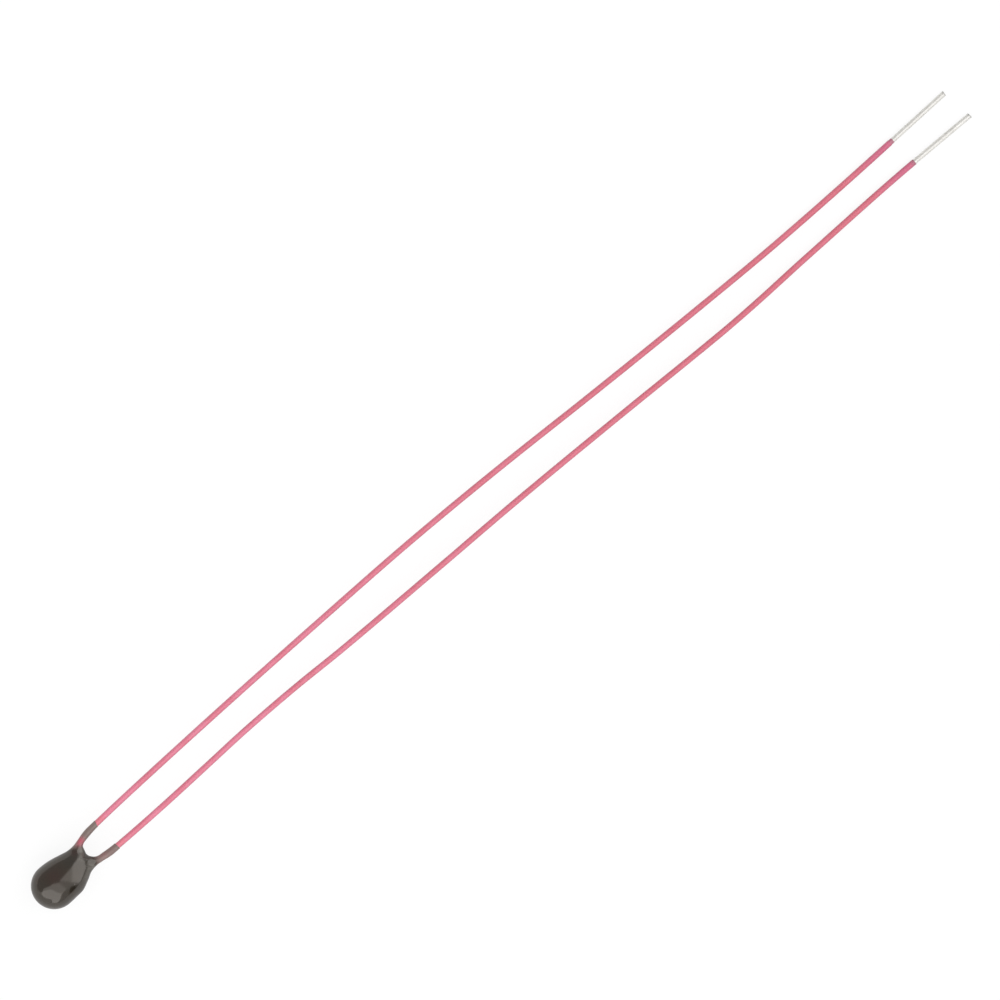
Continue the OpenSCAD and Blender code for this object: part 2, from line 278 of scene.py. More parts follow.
class Mesh:
    """Points and faces of one piece, with a number or two for each point.

    Every face runs clockwise as it is seen from outside, and is turned when the piece is made.
    """

    def __init__(self, *marks):
        self.points = []
        self.faces = []
        self.marks = {name: [] for name in marks}

    def add(self, points, **marks):
        """Adds points and gives the places they take in the list."""
        first = len(self.points)
        self.points.extend(np.asarray(points, float))
        for name, values in self.marks.items():
            given = np.broadcast_to(np.asarray(marks.get(name, 0.0), float), len(points))
            values.extend(given)
        return np.arange(first, first + len(points))

    def belt(self, a, b):
        """The wall between two closed rings of as many points, with the shorter diagonals."""
        p = np.array(self.points)
        for i in range(len(a)):
            j = (i + 1) % len(a)
            one = np.linalg.norm(p[a[i]] - p[b[j]])
            other = np.linalg.norm(p[a[j]] - p[b[i]])
            if one <= other:
                self.faces += [(a[i], b[i], b[j]), (a[i], b[j], a[j])]
            else:
                self.faces += [(a[i], b[i], a[j]), (a[j], b[i], b[j])]

    def tube(self, rings):
        for a, b in zip(rings, rings[1:]):
            for i in range(len(a)):
                j = (i + 1) % len(a)
                self.faces.append((a[i], b[i], b[j], a[j]))

    def piece(self, name):
        mesh = bpy.data.meshes.new(name)
        faces = [tuple(int(i) for i in face[::-1]) for face in self.faces]
        mesh.from_pydata(seated(self.points).tolist(), [], faces)
        for mark, values in self.marks.items():
            layer = mesh.attributes.new(mark, "FLOAT", "POINT")
            layer.data.foreach_set("value", np.array(values, np.float32))
        mesh.update()
        mesh.shade_smooth()
        return put_in_scene(name, mesh)


def around_lead(side, x, turns, radius):
    """A ring round a lead, square to it, with a radius for each turn."""
    at = np.array([x])
    along = heading(side, at)[0]
    across = unit(np.array([-along[1], along[0], 0]))
    up = np.cross(along, across)
    r = np.broadcast_to(np.asarray(radius, float), len(turns))[:, None]
    return line_at(side, at)[0] + r * (
        np.cos(turns)[:, None] * across + np.sin(turns)[:, None] * up
    )


# The resin head

NOSE_RINGS = 30
BODY_RINGS = 34
LIMB_RINGS = 70
HALF_RING = 36
RING = 2 * HALF_RING
CROTCH_POINTS = 23
SPLIT_X = 0.7 * HEAD_FRONT
CROTCH_SLANT = 0.12 * HEAD_FRONT
CROWDING = 1.6


def collar_end(side, cosine):
    """Where the resin ends on a lead. It reaches a little further along the outer side."""
    return HEAD_FRONT + COLLAR[side] - COLLAR_SLANT[side] * SLEEVE_D / 2 * (1 - cosine)


def limb_ring(side, starts, k):
    """A ring of a limb, which turns little by little into an even circle round the lead."""
    share = (k / LIMB_RINGS) ** CROWDING
    count = len(starts)
    i = np.arange(count)
    # Rays to the crotch start further back on the lead, and so lean forward
    slant = CROTCH_SLANT * np.maximum(0, np.sin(np.pi * (i - HALF_RING) / (CROTCH_POINTS + 1)))
    from_lead = starts - line_at(side, starts[:, 0] - slant)
    raw = np.arctan2(from_lead[:, 2], side * from_lead[:, 1])
    start_a = np.where((i > HALF_RING) & (raw < 0), raw + 2 * np.pi, raw)
    end_a = (i - HALF_RING / 2) * 2 * np.pi / count
    a = start_a + (end_a - start_a) * share
    x = starts[:, 0] + (collar_end(side, np.cos(end_a)) - starts[:, 0]) * share
    behind = slant * (1 - share)
    centre = line_at(side, x - behind)
    reach = np.linalg.norm(from_lead[:, 1:], axis=1)
    way = unit(np.column_stack([behind, side * reach * np.cos(a), reach * np.sin(a)]))
    # Rays on the inner side stop half way to the other lead
    to_middle = (middle(x)[:, 1] - centre[:, 1]) / np.where(way[:, 1] == 0, 1e-9, way[:, 1])
    inner = np.cos(a) < 0
    far = np.where(inner, np.minimum(HEAD_W, np.abs(to_middle)), HEAD_W)
    return skin_points(centre, way, far)


# Places on the resin: x, y and z, how far the place reaches, and how strong it is.
# At these it looks warmer
WARM_SPOTS = [
    ((0.3, 0.35, 1.0), 0.5, 1.0), ((1.83, 0.58, 0.35), 0.22, 1.0),
    ((-0.4, 0.8, 0.6), 0.25, 0.7), ((0.1, -0.5, -0.95), 0.5, 0.9),
    ((-0.7, -0.3, -0.7), 0.4, 0.6), ((1.5, 0.2, -0.7), 0.3, 0.8),
]
# At these the pink insulation shows through it
PINK_SPOTS = [
    ((2.5, 0.84, 0.15), 0.18, 0.75), ((2.3, 0.77, 0.12), 0.16, 0.4),
    ((2.85, -0.42, 0.17), 0.25, 0.12), ((3.3, -0.5, 0.1), 0.4, 0.05),
]
# At these a painted highlight makes it look paler, along the edges of the web between the leads
HIGHLIGHT_SPOTS = [
    ((1.91, -0.44, 0.43), 0.13, 0.6), ((1.73, -0.58, 0.45), 0.19, 0.45),
    ((2.03, -0.52, 0.31), 0.13, 0.7), ((2.12, -0.59, 0.2), 0.12, 0.7),
    ((1.48, -0.7, 0.48), 0.19, 0.4), ((2.28, 0.54, 0.15), 0.13, 0.55),
    ((2.17, 0.43, 0.22), 0.12, 0.5), ((2.07, 0.33, 0.32), 0.12, 0.7),
    ((1.98, 0.25, 0.43), 0.12, 0.8), ((1.88, 0.17, 0.55), 0.12, 0.4),
]
# At these more of it lies over the leads than the shape alone would give, by up to THICKER
THICK_SPOTS = [
    ((2.3, -0.43, 0.2), 0.28, 0.4), ((2.2, 0.62, 0.2), 0.12, 0.6), ((2.38, 0.65, 0.1), 0.14, 0.6),
]
THICKER = 0.13


def depth_over_leads(points):
    """How much resin lies over the nearer lead's insulation."""
    return np.minimum(lead_gap(LEFT, points), lead_gap(RIGHT, points)) - SLEEVE_D / 2


def spots(points, places):
    """How strong the places are at each point, at most 1."""
    total = np.zeros(len(points))
    for place, reach, strength in places:
        total += strength * bump(np.linalg.norm(points - np.array(place), axis=1) / reach)
    return np.minimum(total, 1)


def coat_marks(points):
    """What the resin's finish is told about each point of the skin."""
    points = np.asarray(points, float)
    return {
        "resin_depth": depth_over_leads(points) + THICKER * spots(points, THICK_SPOTS),
        "warm_spot": spots(points, WARM_SPOTS),
        "pink_spot": spots(points, PINK_SPOTS),
        "highlight_spot": spots(points, HIGHLIGHT_SPOTS),
    }


# The rounded lip of the film where it ends: how far on, and the share of its thickness
LIP = [(0.008, 0.93), (0.015, 0.74), (0.02, 0.45), (0.022, 0.1)]
BORE_RINGS = 24
# A hair of room between the resin and what is cast in, so that no two faces lie together
HAIR = 0.0006
# The resin's depth that is written inside the bore, where nothing shows
BORE_DEPTH = 0.3


def collar_lip_and_bore(coat, side, edge):
    """Carries the skin over the film's lip and back along the lead, to the bare conductor."""
    off = edge - line_at(side, edge[:, 0])
    turns = np.arctan2(off[:, 2], side * off[:, 1])
    rings = []

    def ring(xs, radius):
        centres = line_at(side, xs)
        along = heading(side, xs)
        across = unit(np.column_stack([-along[:, 1], along[:, 0], np.zeros(len(xs))]))
        up = np.cross(along, across)
        cosines = side * np.cos(turns)[:, None]
        return centres + radius * (cosines * across + np.sin(turns)[:, None] * up)

    for onward, share in LIP:
        points = ring(edge[:, 0] + onward, ROUND_SLEEVE_R + EDGE_FILM * share)
        rings.append(coat.add(points, resin_depth=EDGE_FILM * share))
    bore_from = edge[:, 0] + LIP[-1][0]
    for k in range(BORE_RINGS + 1):
        xs = bore_from + (SLEEVE_START - bore_from) * k / BORE_RINGS
        rings.append(coat.add(ring(xs, ROUND_SLEEVE_R + HAIR), resin_depth=BORE_DEPTH))
    for x in (SLEEVE_START, CHIP_LEN / 2 + 2 * SOLDER_FILM):
        xs = np.full(len(edge), x)
        rings.append(coat.add(ring(xs, WIRE_D / 2 + HAIR), resin_depth=BORE_DEPTH))
    return rings


def make_resin():
    coat = Mesh("resin_depth", "warm_spot", "pink_spot", "highlight_spot")
    # Each ring starts at the bottom ridge and runs up the left side
    turns = np.arange(RING) * np.pi / HALF_RING - np.pi / 2

    # The round back of the head, from its pole, and then the body to where the limbs part
    nose = skin_points(np.zeros((1, 3)), [[-1, 0, 0]], 2 * HEAD_W)
    pole = coat.add(nose, **coat_marks(nose))[0]
    rings = []
    for k in range(1, NOSE_RINGS + 1):
        a = math.pi / 2 * k / NOSE_RINGS
        way = np.column_stack([
            np.full(RING, -math.cos(a)),
            math.sin(a) * np.cos(turns),
            math.sin(a) * np.sin(turns),
        ])
        rings.append(skin_points(np.zeros((RING, 3)), way, 2 * HEAD_W))
    for k in range(1, BODY_RINGS + 1):
        x = np.full(RING, SPLIT_X * k / BODY_RINGS)
        way = np.column_stack([np.zeros(RING), np.cos(turns), np.sin(turns)])
        rings.append(skin_points(middle(x), way, HEAD_W))
    ids = [coat.add(ring, **coat_marks(ring)) for ring in rings]
    for i in range(RING):
        coat.faces.append((pole, ids[0][i], ids[0][(i + 1) % RING]))
    coat.tube(ids)

    # The crotch: from the top ridge, round the web between the leads, to the bottom ridge
    ends = middle(np.array([SPLIT_X, HEAD_FRONT]))
    web_way = unit(ends[1] - ends[0])
    b = np.pi / 2 - np.pi * np.arange(1, CROTCH_POINTS + 1) / (CROTCH_POINTS + 1)
    way = np.cos(b)[:, None] * web_way + np.sin(b)[:, None] * np.array([0, 0, 1])
    crotch = skin_points(np.repeat(ends[:1], CROTCH_POINTS, axis=0), way, HEAD_FRONT)
    crotch_ids = coat.add(crotch, **coat_marks(crotch))

    for side in (LEFT, RIGHT):
        half = [ids[-1][(RING + side * i) % RING] for i in range(HALF_RING + 1)]
        start_ids = np.concatenate([half, crotch_ids])
        starts = np.array([coat.points[i] for i in start_ids])
        limb = [start_ids]
        for k in range(1, LIMB_RINGS + 1):
            ring = limb_ring(side, starts, k)
            limb.append(coat.add(ring, **coat_marks(ring)))
        edge = np.array([coat.points[i] for i in limb[-1]])
        limb += collar_lip_and_bore(coat, side, edge)
        for a, b in zip(limb, limb[1:]):
            if side == LEFT:
                coat.belt(a, b)
            else:
                coat.belt(b, a)
        cap = limb[-1] if side == RIGHT else limb[-1][::-1]
        coat.faces.append(tuple(cap))
    return coat.piece("dipped_resin_coat")


# The insulation

SLEEVE_SIDES = 28
SLEEVE_RINGS = 260
SLEEVE_BEVEL = 0.02
# The bevel starts to turn at this share of its length and depth
BEVEL_TURN = 0.3
# The left sleeve's end was drawn thin by the stripping tool, over this length and depth
DRAWN = {LEFT: (0.17, 0.016), RIGHT: (0.0, 0.0)}
# Its shoulder, as shares of the bevel's length and of the drawn depth, and its taper
SHOULDER = (0.6, 0.3)
DRAWN_TAPER = 0.002
# How far each sleeve was cut back from the end of its insulated run
CUT_BACK = {LEFT: 0.0, RIGHT: 0.13}


def cut_x(side):
    """Where a sleeve ends and its lead's bare end starts."""
    return strip_x(side) - CUT_BACK[side]


def ripple(x, phases):
    """A gentle, repeatable unevenness between 0 and 1 along a lead."""
    total = np.zeros_like(x)
    for length, phase in phases:
        total = total + np.sin(2 * np.pi * x / length + phase)
    return 0.5 + 0.5 * total / len(phases)


SLEEVE_RIPPLE = {
    LEFT: [(2.3, 0.4), (5.1, 2.0), (9.7, 4.4)],
    RIGHT: [(2.6, 1.7), (4.3, 5.2), (11.3, 0.9)],
}
RIPPLE_DEPTH = 0.003


def sleeve_profile(side):
    """Pairs of x and outer radius, from inside the resin to the cut end."""
    end = cut_x(side)
    drawn_len, drawn_depth = DRAWN[side]
    x = np.linspace(SLEEVE_START, end - drawn_len - 2 * SLEEVE_BEVEL, SLEEVE_RINGS)
    r = ROUND_SLEEVE_R - RIPPLE_DEPTH * ripple(x, SLEEVE_RIPPLE[side])
    last_r = r[-1]
    profile = list(zip(x, r))
    if drawn_len:
        start = end - drawn_len
        back, down = SHOULDER
        profile.append((start - back * SLEEVE_BEVEL, last_r - down * drawn_depth))
        last_r = last_r - drawn_depth
        profile.append((start, last_r))
        profile.append((end - SLEEVE_BEVEL / 2, last_r - DRAWN_TAPER))
    else:
        profile.append((end - SLEEVE_BEVEL, last_r))
    profile.append((end - BEVEL_TURN * SLEEVE_BEVEL, last_r - BEVEL_TURN * SLEEVE_BEVEL))
    profile.append((end, last_r - SLEEVE_BEVEL))
    return profile


def make_sleeve(side):
    sleeve = Mesh("past_collar", "to_cut_end")
    turns = np.arange(SLEEVE_SIDES) * 2 * np.pi / SLEEVE_SIDES
    profile = sleeve_profile(side)
    collar = collar_end(side, 1.0)

    def marks(x):
        return {"past_collar": x - collar, "to_cut_end": cut_x(side) - x}

    outer = [sleeve.add(around_lead(side, x, turns, r), **marks(x)) for x, r in profile]
    bore = [
        sleeve.add(around_lead(side, x, turns, WIRE_D / 2 + HAIR), **marks(x))
        for x, _ in profile[::-1]
    ]
    loop = outer + bore
    sleeve.tube(loop + loop[:1])
    return sleeve.piece(f"insulation_sleeve_{SIDE_NAMES[side]}")


# The lead wires, with their solder-dipped bare ends

WIRE_SIDES = 28
COVERED_RINGS = 230
BARE_RINGS = 90
# The gap between the last ring under the sleeve and the first one of the bare end
BARE_START = 0.01
TIP_CHAMFER = 0.03
# The tip's rounded edge, as shares of the chamfer: how far on, and how far in
TIP_EDGE = [(0.0, 0.0), (0.7, 0.2), (1.0, 1.0)]
TIP_FACE = 0.55
TIN_RIPPLE = {
    LEFT: [(0.9, 1.1), (1.7, 3.0), (0.53, 0.2)],
    RIGHT: [(1.1, 4.0), (1.9, 0.6), (0.61, 2.2)],
}
TIN_RIPPLE_DEPTH = 0.006
TIN_FOOT = 0.12
# How much further the cut tip reaches on its outer side, as a share of its radius
TIP_SLANT = {LEFT: 0.12, RIGHT: -0.1}


def make_lead_wire(side):
    wire = Mesh("from_tip")
    turns = np.arange(WIRE_SIDES) * 2 * np.pi / WIRE_SIDES
    tip = tip_x(side)
    strip = cut_x(side)
    rings = []
    for x in np.linspace(-WIRE_END, strip, COVERED_RINGS):
        rings.append(wire.add(around_lead(side, x, turns, WIRE_D / 2), from_tip=tip - x))
    slant = TIP_SLANT[side] * TINNED_D / 2
    last = tip - abs(slant) - TIP_CHAMFER
    for x in np.linspace(strip + BARE_START, last, BARE_RINGS):
        foot = 1 - math.exp(-(x - strip) / TIN_FOOT)
        swell = float(ripple(np.array([x]), TIN_RIPPLE[side])[0])
        r = WIRE_D / 2 + foot * (TIN_FILM - TIN_RIPPLE_DEPTH * swell)
        rings.append(wire.add(around_lead(side, x, turns, r), from_tip=tip - x))
    edge = [(onward, TINNED_D / 2 - inward * TIP_CHAMFER) for onward, inward in TIP_EDGE]
    for onward, radius in edge + [(1.0, TIP_FACE * TINNED_D / 2)]:
        at = tip - TIP_CHAMFER * (1 - onward) - abs(slant)
        ring = around_lead(side, at, turns, radius)
        ring[:, 0] += slant * np.cos(turns) * onward
        rings.append(wire.add(ring, from_tip=0))
    wire.tube(rings)
    wire.faces.append(tuple(rings[0]))
    wire.faces.append(tuple(rings[-1][::-1]))
    return wire.piece(f"tinned_lead_{SIDE_NAMES[side]}")


# Materials


def empty_material(name):
    material = bpy.data.materials.new(name)
    material.use_nodes = True
    material.node_tree.nodes.clear()
    return material


def set_or_link(tree, socket, value):
    """Sets a socket to a value, or links it to another node's output."""
    if isinstance(value, bpy.types.NodeSocket):
        tree.links.new(value, socket)
    else:
        socket.default_value = value


def fill_inputs(tree, made, inputs):
    for name, value in inputs.items():
        set_or_link(tree, made.inputs[name.replace("_", " ")], value)
    return made


def add_node(tree, kind, **inputs):
    """Adds a node. An input is a value, or another node's output to link."""
    return fill_inputs(tree, tree.nodes.new(kind), inputs)


def add_group(tree, group, **inputs):
    made = tree.nodes.new("ShaderNodeGroup")
    made.node_tree = group
    return fill_inputs(tree, made, inputs)


def show_surface(tree, shader):
    add_node(tree, "ShaderNodeOutputMaterial", Surface=shader)


class Finish:
    """A material with a Principled shader, and short calls that set it and feed it."""

    def __init__(self, name):
        self.material = empty_material(name)
        self.tree = self.material.node_tree
        self.shader = self.tree.nodes.new("ShaderNodeBsdfPrincipled")
        show_surface(self.tree, self.shader.outputs["BSDF"])

    def set(self, **values):
        for name, value in values.items():
            self.shader.inputs[name.replace("_", " ")].default_value = value

    def feed(self, name, output):
        self.tree.links.new(output, self.shader.inputs[name])


def calculate(tree, operation, a, b):
    made = tree.nodes.new("ShaderNodeMath")
    made.operation = operation
    set_or_link(tree, made.inputs[0], a)
    set_or_link(tree, made.inputs[1], b)
    return made.outputs[0]


# A Mix node holds a set of sockets for each kind of value. These are the ones for colours.
MIX_SHARE = 0
MIX_FIRST = 6
MIX_SECOND = 7
MIX_RESULT = 2


def mix_colours(tree, share, a, b):
    made = tree.nodes.new("ShaderNodeMix")
    made.data_type = "RGBA"
    set_or_link(tree, made.inputs[MIX_SHARE], share)
    set_or_link(tree, made.inputs[MIX_FIRST], a)
    set_or_link(tree, made.inputs[MIX_SECOND], b)
    return made.outputs[MIX_RESULT]


def mark(tree, name):
    """A number that a mesh carries at each of its points."""
    made = tree.nodes.new("ShaderNodeAttribute")
    made.attribute_name = name
    return made.outputs["Fac"]


def rise(tree, value, start, end):
    """Goes smoothly from 0 at start to 1 at end."""
    made = tree.nodes.new("ShaderNodeMapRange")
    made.interpolation_type = "SMOOTHSTEP"
    tree.links.new(value, made.inputs["Value"])
    made.inputs["From Min"].default_value = start
    made.inputs["From Max"].default_value = end
    return made.outputs["Result"]


def fall(tree, value, start, end):
    """Goes smoothly from 1 at start to 0 at end."""
    return calculate(tree, "SUBTRACT", 1.0, rise(tree, value, start, end))


def millimetres(tree):
    """The surface's own place in millimetres."""
    own_place = tree.nodes.new("ShaderNodeTexCoord")
    scaled = tree.nodes.new("ShaderNodeVectorMath")
    scaled.operation = "SCALE"
    scaled.inputs["Scale"].default_value = 1 / MM
    tree.links.new(own_place.outputs["Object"], scaled.inputs[0])
    return scaled.outputs["Vector"]


def new_group(name, inputs, outputs):
    tree = bpy.data.node_groups.new(name, "ShaderNodeTree")
    for label, kind, value in inputs:
        socket = tree.interface.new_socket(name=label, in_out="INPUT", socket_type=kind)
        socket.default_value = value
    for label, kind in outputs:
        tree.interface.new_socket(name=label, in_out="OUTPUT", socket_type=kind)
    return tree, tree.nodes.new("NodeGroupInput"), tree.nodes.new("NodeGroupOutput")


FLOAT = "NodeSocketFloat"
COLOUR = "NodeSocketColor"
# Noise gathers round a half, so a mask made from it turns from 0 to 1 between these
NOISE_SPAN = (0.35, 0.65)
RUBBED_SPAN = (0.45, 0.75)
# Dust lies in cells this many specks wide, and a speck reaches this share of its cell
CELL_IN_SPECKS = 5
SPECK_REACH = 0.16


def build_unevenness():
    """A gently uneven surface: how high it stands, in metres."""
    tree, given, result = new_group(
        "gentle unevenness",
        [("Size mm", FLOAT, 0.5), ("Depth mm", FLOAT, 0.002), ("Roughness", FLOAT, 0.5)],
        [("Height", FLOAT)],
    )
    noise = add_node(
        tree, "ShaderNodeTexNoise", Vector=millimetres(tree), Roughness=given.outputs["Roughness"],
        Scale=calculate(tree, "DIVIDE", 1.0, given.outputs["Size mm"]), Detail=3.0,
    )
    depth = calculate(tree, "MULTIPLY", given.outputs["Depth mm"], MM)
    height = calculate(tree, "MULTIPLY", noise.outputs["Fac"], depth)
    tree.links.new(height, result.inputs["Height"])
    return tree


def build_drift():
    """A colour that drifts slowly to another over the surface."""
    tree, given, result = new_group(
        "colour drift",
        [("Colour", COLOUR, (1, 1, 1, 1)), ("Other Colour", COLOUR, (1, 1, 1, 1)),
         ("Size mm", FLOAT, 1.0), ("Amount", FLOAT, 0.5)],
        [("Colour", COLOUR)],
    )
    noise = add_node(
        tree, "ShaderNodeTexNoise", Vector=millimetres(tree),
        Scale=calculate(tree, "DIVIDE", 1.0, given.outputs["Size mm"]), Detail=2.0,
    )
    drifted = rise(tree, noise.outputs["Fac"], *NOISE_SPAN)
    share = calculate(tree, "MULTIPLY", drifted, given.outputs["Amount"])
    mixed = mix_colours(tree, share, given.outputs["Colour"], given.outputs["Other Colour"])
    tree.links.new(mixed, result.inputs["Colour"])
    return tree


def build_handling():
    """Fine dust specks and rubbed places, as a roughness and a mask of the specks."""
    tree, given, result = new_group(
        "handling marks",
        [("Clean Roughness", FLOAT, 0.1), ("Rubbed Roughness", FLOAT, 0.25),
         ("Speck mm", FLOAT, 0.05), ("Speck Share", FLOAT, 0.1)],
        [("Roughness", FLOAT), ("Specks", FLOAT)],
    )
    rubbed = add_node(tree, "ShaderNodeTexNoise", Vector=millimetres(tree), Scale=1.3, Detail=4.0)
    clean = given.outputs["Clean Roughness"]
    span = calculate(tree, "SUBTRACT", given.outputs["Rubbed Roughness"], clean)
    worn = rise(tree, rubbed.outputs["Fac"], *RUBBED_SPAN)
    roughness = calculate(tree, "ADD", clean, calculate(tree, "MULTIPLY", span, worn))
    cells = add_node(
        tree, "ShaderNodeTexVoronoi", Vector=millimetres(tree),
        Scale=calculate(tree, "DIVIDE", 1 / CELL_IN_SPECKS, given.outputs["Speck mm"]),
    )
    near = calculate(tree, "LESS_THAN", cells.outputs["Distance"], SPECK_REACH)
    picked = add_node(tree, "ShaderNodeSeparateColor", Color=cells.outputs["Color"])
    chosen = calculate(tree, "LESS_THAN", picked.outputs["Red"], given.outputs["Speck Share"])
    tree.links.new(roughness, result.inputs["Roughness"])
    tree.links.new(calculate(tree, "MULTIPLY", near, chosen), result.inputs["Specks"])
    return tree


UNEVENNESS = build_unevenness()
DRIFT = build_drift()
HANDLING = build_handling()


def raise_surface(finish, heights):
    """Adds the heights up and lets them bend the surface's normal."""
    total = heights[0]
    for height in heights[1:]:
        total = calculate(finish.tree, "ADD", total, height)
    bump_node = add_node(finish.tree, "ShaderNodeBump", Height=total, Distance=1.0)
    finish.feed("Normal", bump_node.outputs["Normal"])


def colour(red, green, blue):
    return (red, green, blue, 1.0)


# Colours of the resin, from thick and dark to a thin film over pink insulation, and the pale grey
# of its painted highlights
DEEP_RESIN = colour(0.016, 0.0105, 0.0045)
SMOKY_RESIN = colour(0.012, 0.0095, 0.0055)
WARM_RESIN = colour(0.019, 0.006, 0.003)
HIGHLIGHT_RESIN = colour(0.1, 0.092, 0.08)
THIN_RESIN = colour(0.177, 0.127, 0.115)
PINK_THROUGH = colour(0.5, 0.06, 0.115)
DUST = colour(0.12, 0.11, 0.1)
# Depths in millimetres between which thin resin turns dark, and grows as smooth as the rest
TURNS_DARK = (0.01, 0.15)
GROWS_SMOOTH = (0.02, 0.1)
THIN_ROUGHNESS = 0.22


def resin_finish():
    finish = Finish("dipped epoxy resin")
    tree = finish.tree
    depth = mark(tree, "resin_depth")
    body = add_group(tree, DRIFT, Colour=DEEP_RESIN, Other_Colour=SMOKY_RESIN,
                     Size_mm=0.9, Amount=0.8)
    body = mix_colours(tree, mark(tree, "warm_spot"), body.outputs["Colour"], WARM_RESIN)
    veil = mix_colours(tree, rise(tree, depth, *TURNS_DARK), THIN_RESIN, body)
    # Painted highlight: a paler grey along the edges of the web between the leads
    veil = mix_colours(tree, mark(tree, "highlight_spot"), veil, HIGHLIGHT_RESIN)
    veil = mix_colours(tree, mark(tree, "pink_spot"), veil, PINK_THROUGH)
    marks = add_group(tree, HANDLING, Clean_Roughness=0.12, Rubbed_Roughness=0.18,
                      Speck_mm=0.03, Speck_Share=0.06)
    finish.feed("Base Color", mix_colours(tree, marks.outputs["Specks"], veil, DUST))
    dull = calculate(tree, "MULTIPLY", fall(tree, depth, *GROWS_SMOOTH), THIN_ROUGHNESS)
    finish.feed("Roughness", calculate(tree, "ADD", marks.outputs["Roughness"], dull))
    waves = add_group(tree, UNEVENNESS, Size_mm=0.9, Depth_mm=0.012, Roughness=0.35)
    fine = add_group(tree, UNEVENNESS, Size_mm=0.12, Depth_mm=0.0006, Roughness=0.5)
    raise_surface(finish, [waves.outputs["Height"], fine.outputs["Height"]])
    finish.set(IOR=1.8, Specular_Tint=colour(1.0, 0.94, 0.88))
    return finish.material


PINK = colour(0.705, 0.196, 0.287)
SALMON = colour(0.695, 0.179, 0.235)
ROSE = colour(0.65, 0.153, 0.212)
DEEP_ROSE = colour(0.61, 0.136, 0.183)
PLUM = colour(0.58, 0.128, 0.219)
CUT_END = colour(0.4, 0.143, 0.2)
# A deeper pink where a sleeve is seen at a slant: partly the clear film's tint, seen through more
# of it, and partly painted shade at the sleeve's edges
SLANT_SHADE_PINK = colour(0.34, 0.085, 0.13)
# Millimetres between which a sleeve's colour changes: back from its cut end, where it grows
# paler, loses its plum tinge and then its dull rim, and on from the resin's collar
GROWS_PALER = (12, 50)
LOSES_PLUM = (0.6, 3.0)
LOSES_DULL_RIM = (0.05, 0.3)
LOSES_SALMON = (0.35, 0.6)


def insulation_finish():
    finish = Finish("pink wire insulation")
    tree = finish.tree
    to_cut_end = mark(tree, "to_cut_end")
    along = rise(tree, to_cut_end, *GROWS_PALER)
    body = add_group(tree, DRIFT, Colour=mix_colours(tree, along, ROSE, PINK),
                     Other_Colour=mix_colours(tree, along, DEEP_ROSE, ROSE),
                     Size_mm=0.8, Amount=0.7)
    near_collar = fall(tree, mark(tree, "past_collar"), *LOSES_SALMON)
    base = mix_colours(tree, near_collar, body.outputs["Colour"], SALMON)
    base = mix_colours(tree, fall(tree, to_cut_end, *LOSES_PLUM), base, PLUM)
    base = mix_colours(tree, fall(tree, to_cut_end, *LOSES_DULL_RIM), base, CUT_END)
    # Painted shade: the colour turns deeper pink towards a sleeve's edges, where it is seen at a
    # slant, partly as the clear film's tint
    edge = add_node(tree, "ShaderNodeLayerWeight", Blend=0.35)
    base = mix_colours(tree, edge.outputs["Facing"], base, SLANT_SHADE_PINK)
    finish.feed("Base Color", base)
    marks = add_group(tree, HANDLING, Clean_Roughness=0.2, Rubbed_Roughness=0.32,
                      Speck_mm=0.03, Speck_Share=0.05)
    finish.feed("Roughness", marks.outputs["Roughness"])
    ripples = add_group(tree, UNEVENNESS, Size_mm=0.35, Depth_mm=0.003, Roughness=0.5)
    raise_surface(finish, [ripples.outputs["Height"]])
    finish.set(IOR=1.5, Coat_Weight=0.5, Coat_Roughness=0.15)
    return finish.material


TIN = colour(0.87, 0.855, 0.818)
DULL_TIN = colour(0.775, 0.756, 0.713)
BURR = colour(0.5, 0.49, 0.47)
# How far back from the tip the cut's burr reaches
BURR_ENDS = (0.04, 0.12)


def tin_finish():
    finish = Finish("solder-dipped wire")
    tree = finish.tree
    body = add_group(tree, DRIFT, Colour=TIN, Other_Colour=DULL_TIN, Size_mm=0.35, Amount=0.7)
    past_burr = rise(tree, mark(tree, "from_tip"), *BURR_ENDS)
    finish.feed("Base Color", mix_colours(tree, past_burr, BURR, body.outputs["Colour"]))
    marks = add_group(tree, HANDLING, Clean_Roughness=0.32, Rubbed_Roughness=0.45,
                      Speck_mm=0.03, Speck_Share=0.1)
    finish.feed("Roughness", marks.outputs["Roughness"])
    lumps = add_group(tree, UNEVENNESS, Size_mm=0.3, Depth_mm=0.012, Roughness=0.6)
    raise_surface(finish, [lumps.outputs["Height"]])
    finish.set(Metallic=0.65)
    return finish.material


SOLDER = colour(0.68, 0.69, 0.7)
DULL_SOLDER = colour(0.55, 0.56, 0.58)


def solder_finish():
    finish = Finish("solder")
    tree = finish.tree
    body = add_group(tree, DRIFT, Colour=SOLDER, Other_Colour=DULL_SOLDER,
                     Size_mm=0.2, Amount=0.6)
    finish.feed("Base Color", body.outputs["Colour"])
    marks = add_group(tree, HANDLING, Clean_Roughness=0.22, Rubbed_Roughness=0.4,
                      Speck_mm=0.02, Speck_Share=0.05)
    finish.feed("Roughness", marks.outputs["Roughness"])
    lumps = add_group(tree, UNEVENNESS, Size_mm=0.15, Depth_mm=0.004, Roughness=0.6)
    raise_surface(finish, [lumps.outputs["Height"]])
    finish.set(Metallic=1.0)
    return finish.material


SILVER = colour(0.82, 0.81, 0.77)
DULL_SILVER = colour(0.72, 0.7, 0.64)


